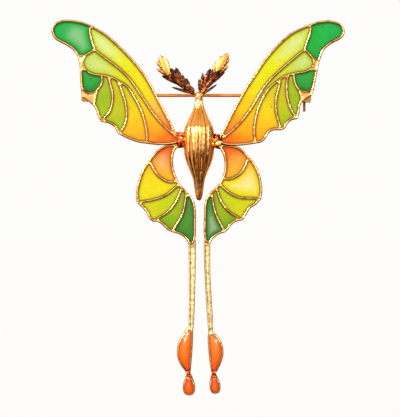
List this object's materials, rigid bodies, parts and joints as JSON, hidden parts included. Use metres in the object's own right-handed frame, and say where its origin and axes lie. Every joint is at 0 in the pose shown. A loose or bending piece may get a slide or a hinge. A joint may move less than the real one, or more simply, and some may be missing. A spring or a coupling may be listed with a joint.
{
  "type": "moth brooch",
  "caption": "Moth-shaped brooch: gold wire frames filled with translucent enamel, fluted body, long tails, and a hinged pin with a turning safety catch.",
  "frame": {"origin": "middle of the pin stem's axis, behind the moth's neck", "axes": "+Z from the tails to the head, as worn; -Y out of the enamelled face; +X along the pin, from its hinge to its catch"},
  "size_m": [0.06, 0.008, 0.077],
  "materials": {
    "cast_gold": "polished cast metal with warm gold plating",
    "body_gold": "polished fluted gold plating, darker in the grooves",
    "antenna_enamel": "dark brown enamel over cast gold barbs",
    "pin_gold": "drawn wire with gold plating",
    "fitting_gold": "stamped and soldered with gold plating",
    "enamel_emerald": "glossy translucent enamel",
    "enamel_yellow": "glossy translucent enamel, lime to yellow to orange",
    "enamel_lime": "glossy translucent enamel, yellow to lime green",
    "enamel_amber": "glossy translucent enamel, yellow to orange",
    "enamel_leaf_green": "glossy translucent enamel",
    "enamel_flame": "glossy domed enamel"
  },
  "bodies": {
    "brooch": {"left_forewing_frame": "cast_gold", "right_forewing_frame": "cast_gold", "left_hindwing_frame": "cast_gold", "right_hindwing_frame": "cast_gold", "left_fore_enamel_tip": "enamel_emerald", "left_fore_enamel_costal": "enamel_yellow", "left_fore_enamel_middle": "enamel_yellow", "left_fore_enamel_eye": "enamel_emerald", "left_fore_enamel_a": "enamel_lime", "left_fore_enamel_b": "enamel_lime", "left_fore_enamel_c": "enamel_amber", "right_fore_enamel_tip": "enamel_emerald", "right_fore_enamel_costal": "enamel_yellow", "right_fore_enamel_middle": "enamel_yellow", "right_fore_enamel_eye": "enamel_emerald", "right_fore_enamel_a": "enamel_lime", "right_fore_enamel_b": "enamel_lime", "right_fore_enamel_c": "enamel_amber", "left_hind_enamel_1": "enamel_amber", "left_hind_enamel_2": "enamel_yellow", "left_hind_enamel_3": "enamel_lime", "left_hind_enamel_4": "enamel_lime", "left_hind_enamel_5": "enamel_leaf_green", "left_tail_enamel_leaf": "enamel_flame", "left_tail_enamel_drop": "enamel_flame", "right_hind_enamel_1": "enamel_amber", "right_hind_enamel_2": "enamel_yellow", "right_hind_enamel_3": "enamel_lime", "right_hind_enamel_4": "enamel_lime", "right_hind_enamel_5": "enamel_leaf_green", "right_tail_enamel_leaf": "enamel_flame", "right_tail_enamel_drop": "enamel_flame", "body": "body_gold", "left_antenna": "antenna_enamel", "right_antenna": "antenna_enamel", "left_root_lug": "body_gold", "right_root_lug": "body_gold", "hinge_bracket": "fitting_gold", "hinge_rivet": "pin_gold", "catch_base": "fitting_gold"},
    "pin": {"pin_stem": "pin_gold"},
    "collar": {"catch_collar": "fitting_gold"}
  },
  "joints": [
    {"name": "pin_swing", "type": "hinge", "parent": "brooch", "child": "pin", "pos_m": [-0.023, 0, 0], "axis": [0, 0, 1], "range_deg": [0, 80]},
    {"name": "catch_lock", "type": "hinge", "parent": "brooch", "child": "collar", "pos_m": [0.02165, 0, 0], "axis": [1, 0, 0], "range_deg": [0, 90]}
  ]
}
